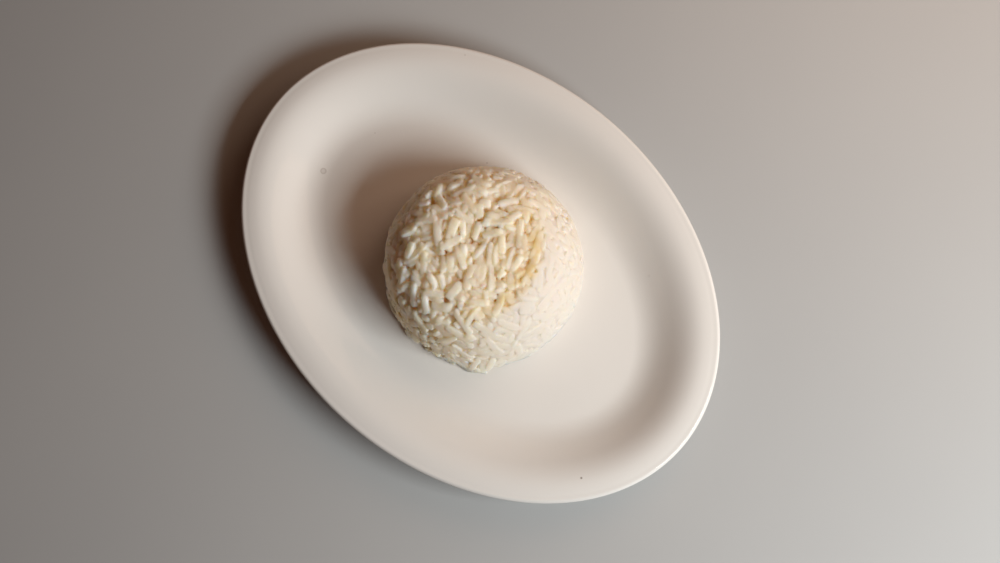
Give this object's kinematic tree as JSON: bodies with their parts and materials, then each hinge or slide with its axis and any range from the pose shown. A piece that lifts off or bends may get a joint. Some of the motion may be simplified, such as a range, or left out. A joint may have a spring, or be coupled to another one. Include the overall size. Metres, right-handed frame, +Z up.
{
  "type": "plate of white rice",
  "caption": "Moulded heap of cooked long-grain white rice on an oval off-white plate with a shallow well, a sloping wall and a narrow rim with a rounded edge.",
  "frame": {"origin": "on the table, under the centre of the plate", "axes": "+X along the plate's length, +Y along its width, +Z up"},
  "size_m": [0.229, 0.169, 0.0439],
  "materials": {
    "plate": "smooth off-white melamine, softly glossy, with faint wear",
    "rice": "moist cooked white rice, cream and slightly translucent"
  },
  "bodies": {
    "root": {"plate": "plate", "rice": "rice"}
  },
  "joints": []
}
